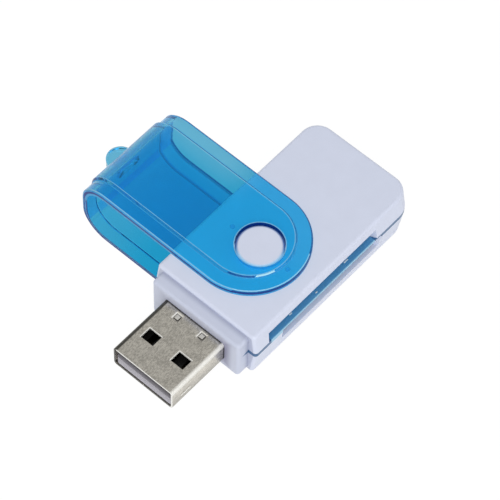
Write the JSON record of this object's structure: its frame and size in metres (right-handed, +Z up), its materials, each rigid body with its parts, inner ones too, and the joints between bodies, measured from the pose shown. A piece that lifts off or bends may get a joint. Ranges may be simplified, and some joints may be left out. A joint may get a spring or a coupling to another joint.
{
  "type": "usb memory card reader",
  "caption": "Pocket usb card reader with a type A plug, side card slots and a transparent swivel cap on round bosses that turns full circle to cover the plug.",
  "frame": {"origin": "middle of the bounding box in plan, on the plane that the cap's lower strap rests on", "axes": "+X towards the wide card slots, away from the cap's closed end; +Y from the plug towards the far end; +Z up"},
  "size_m": [0.042, 0.0514, 0.0135],
  "materials": {
    "shell_white": "satin moulded plastic",
    "frame_blue": "tinted moulded plastic",
    "cap_blue": "transparent blue moulded plastic",
    "plug_steel": "satin nickel-plated sheet",
    "insulator_white": "moulded plastic",
    "contact_gold": "gold-flashed strip",
    "board_green": "solder resist",
    "bar_black": "moulded plastic",
    "chip_black": "moulded epoxy",
    "lead_tin": "tinned",
    "crystal_can": "plated can",
    "led_lens": "clear epoxy",
    "capacitor_tan": "fired ceramic",
    "resistor_black": "coated ceramic"
  },
  "bodies": {
    "reader": {"upper_shell": "shell_white", "lower_shell": "shell_white", "card_frame": "frame_blue", "circuit_board": "board_green", "usb_shell": "plug_steel", "usb_insulator": "insulator_white", "usb_contacts": "contact_gold", "full_card_contact_bar": "bar_black", "full_card_contacts": "contact_gold", "card_detect_springs": "contact_gold", "stick_card_contact_bar": "bar_black", "stick_card_contacts": "contact_gold", "micro_card_contact_bar": "bar_black", "micro_card_contacts": "contact_gold", "short_stick_contact_bar": "bar_black", "short_stick_contacts": "contact_gold", "controller_chip": "chip_black", "controller_leads": "lead_tin", "clock_crystal": "crystal_can", "status_led": "led_lens", "capacitors": "capacitor_tan", "resistors": "resistor_black"},
    "cap": {"swivel_cap": "cap_blue"}
  },
  "joints": [
    {"name": "cap_swivel", "type": "hinge", "parent": "reader", "child": "cap", "pos_m": [0.01065, 0.00075, 0.0066], "axis": [0, 0, 1], "continuous": true}
  ]
}
